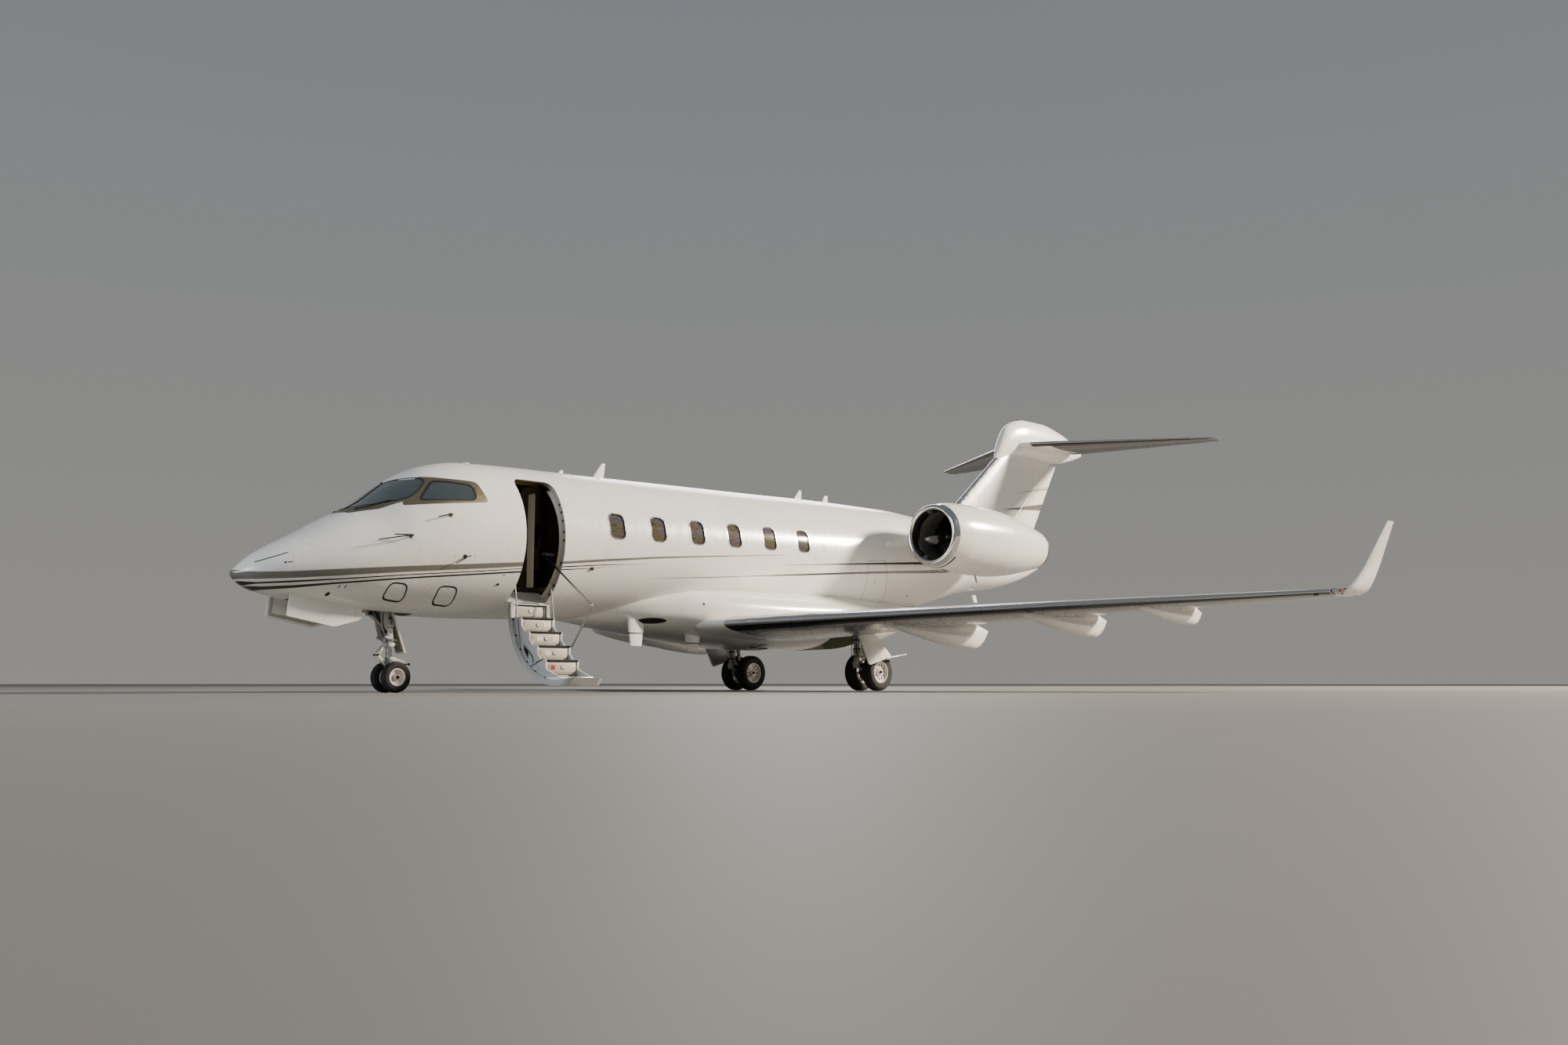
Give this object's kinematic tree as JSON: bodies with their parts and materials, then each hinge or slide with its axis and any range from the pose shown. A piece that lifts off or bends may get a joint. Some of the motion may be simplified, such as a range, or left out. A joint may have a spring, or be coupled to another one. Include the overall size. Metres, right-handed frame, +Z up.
{
  "type": "business jet",
  "caption": "Long-cabin business jet with rear engines, T-tail and winglets, parked on its wheels with the airstair down.",
  "frame": {"origin": "centre of the bounding box on the ground plane under the wheels", "axes": "+X aft along the fuselage, +Y to starboard, +Z up"},
  "size_m": [20.92, 19.4554, 6.152],
  "materials": {
    "paint": "glossy white paint on aluminium skin",
    "tyre": "matt rubber",
    "glazing": "clear acrylic",
    "gear_steel": "painted forging",
    "dark_metal": "dark bare metal",
    "leather": "smooth leather",
    "cabin_trim": "matt lining",
    "polished": "polished tube"
  },
  "bodies": {
    "airframe": {"aft_bulkhead": "cabin_trim", "belly_fairing": "paint", "cabin_floor": "cabin_trim", "cabin_fuselage": "paint", "cabin_partition": "cabin_trim", "cabin_seats_port": "leather", "cabin_seats_stbd": "leather", "engine_core_port": "dark_metal", "engine_core_stbd": "dark_metal", "fin": "paint", "flap_port": "paint", "flap_stbd": "paint", "flight_deck_partition": "cabin_trim", "flight_deck_seats": "leather", "front_fuselage": "paint", "instrument_panel": "dark_metal", "main_gear_door_port": "paint", "main_gear_door_stbd": "paint", "main_gear_leg_port": "gear_steel", "main_gear_leg_stbd": "gear_steel", "nacelle_port": "paint", "nacelle_stbd": "paint", "nose_door_port": "paint", "nose_door_stbd": "paint", "nose_gear_leg": "gear_steel", "nose_leg_door": "paint", "pylon_port": "paint", "pylon_stbd": "paint", "radome": "paint", "stabiliser": "paint", "tail_bullet": "paint", "tail_fuselage": "paint", "window_band_port": "glazing", "window_band_stbd": "glazing", "windshield": "glazing", "wing_port": "paint", "wing_stbd": "paint", "winglet_port": "paint", "winglet_stbd": "paint"},
    "nose_fork": {"nose_gear_fork": "gear_steel"},
    "nose_wheels": {"nose_wheel_port": "tyre", "nose_wheel_stbd": "tyre"},
    "main_wheels_port": {"main_wheel_inner_port": "tyre", "main_wheel_outer_port": "tyre"},
    "main_wheels_stbd": {"main_wheel_inner_stbd": "tyre", "main_wheel_outer_stbd": "tyre"},
    "airstair": {"airstair_door": "paint", "airstair_handrail": "polished"},
    "fan_port": {"fan_port": "dark_metal"},
    "fan_stbd": {"fan_stbd": "dark_metal"},
    "rudder": {"rudder": "paint"},
    "elevator_port": {"elevator_port": "paint"},
    "elevator_stbd": {"elevator_stbd": "paint"},
    "aileron_port": {"aileron_port": "paint"},
    "aileron_stbd": {"aileron_stbd": "paint"}
  },
  "joints": [
    {"name": "nose_steering", "type": "hinge", "parent": "airframe", "child": "nose_fork", "pos_m": [-8.0954, 0, 0.7], "axis": [-0.1085, 0, 0.9941], "range_deg": [-60, 60]},
    {"name": "nose_wheels_roll", "type": "hinge", "parent": "nose_fork", "child": "nose_wheels", "pos_m": [-8.042, 0, 0.221], "axis": [0, 1, 0], "continuous": true},
    {"name": "main_wheels_port_roll", "type": "hinge", "parent": "airframe", "child": "main_wheels_port", "pos_m": [0.626, -1.605, 0.334], "axis": [0, 1, 0], "continuous": true},
    {"name": "main_wheels_stbd_roll", "type": "hinge", "parent": "airframe", "child": "main_wheels_stbd", "pos_m": [0.626, 1.605, 0.334], "axis": [0, 1, 0], "continuous": true},
    {"name": "airstair_hinge", "type": "hinge", "parent": "airframe", "child": "airstair", "pos_m": [-6.218, -0.712, 1.322], "axis": [-1, 0, 0], "range_deg": [0, 129]},
    {"name": "fan_port_spin", "type": "hinge", "parent": "airframe", "child": "fan_port", "pos_m": [2.814, -1.892, 2.9], "axis": [0.9998, 0, -0.02], "continuous": true},
    {"name": "fan_stbd_spin", "type": "hinge", "parent": "airframe", "child": "fan_stbd", "pos_m": [2.814, 1.892, 2.9], "axis": [0.9998, 0, -0.02], "continuous": true},
    {"name": "rudder_hinge", "type": "hinge", "parent": "airframe", "child": "rudder", "pos_m": [8.2, 0, 4.43], "axis": [0.7514, 0, 0.6599], "range_deg": [-20, 20]},
    {"name": "elevator_port_hinge", "type": "hinge", "parent": "airframe", "child": "elevator_port", "pos_m": [9.6844, -1.8, 5.535], "axis": [-0.3045, 0.9525, 0], "range_deg": [-20, 15]},
    {"name": "elevator_stbd_hinge", "type": "hinge", "parent": "airframe", "child": "elevator_stbd", "pos_m": [9.6844, 1.8, 5.535], "axis": [0.3045, 0.9525, 0], "range_deg": [-20, 15]},
    {"name": "aileron_port_hinge", "type": "hinge", "parent": "airframe", "child": "aileron_port", "pos_m": [2.8388, -8.05, 1.4647], "axis": [-0.4222, 0.9051, -0.051], "range_deg": [-20, 20]},
    {"name": "aileron_stbd_hinge", "type": "hinge", "parent": "airframe", "child": "aileron_stbd", "pos_m": [2.8388, 8.05, 1.4647], "axis": [0.4222, 0.9051, 0.051], "range_deg": [-20, 20]}
  ],
  "couplings": [
    {"joint": "elevator_stbd_hinge", "follows": "elevator_port_hinge", "ratio": 1},
    {"joint": "aileron_stbd_hinge", "follows": "aileron_port_hinge", "ratio": -1}
  ]
}
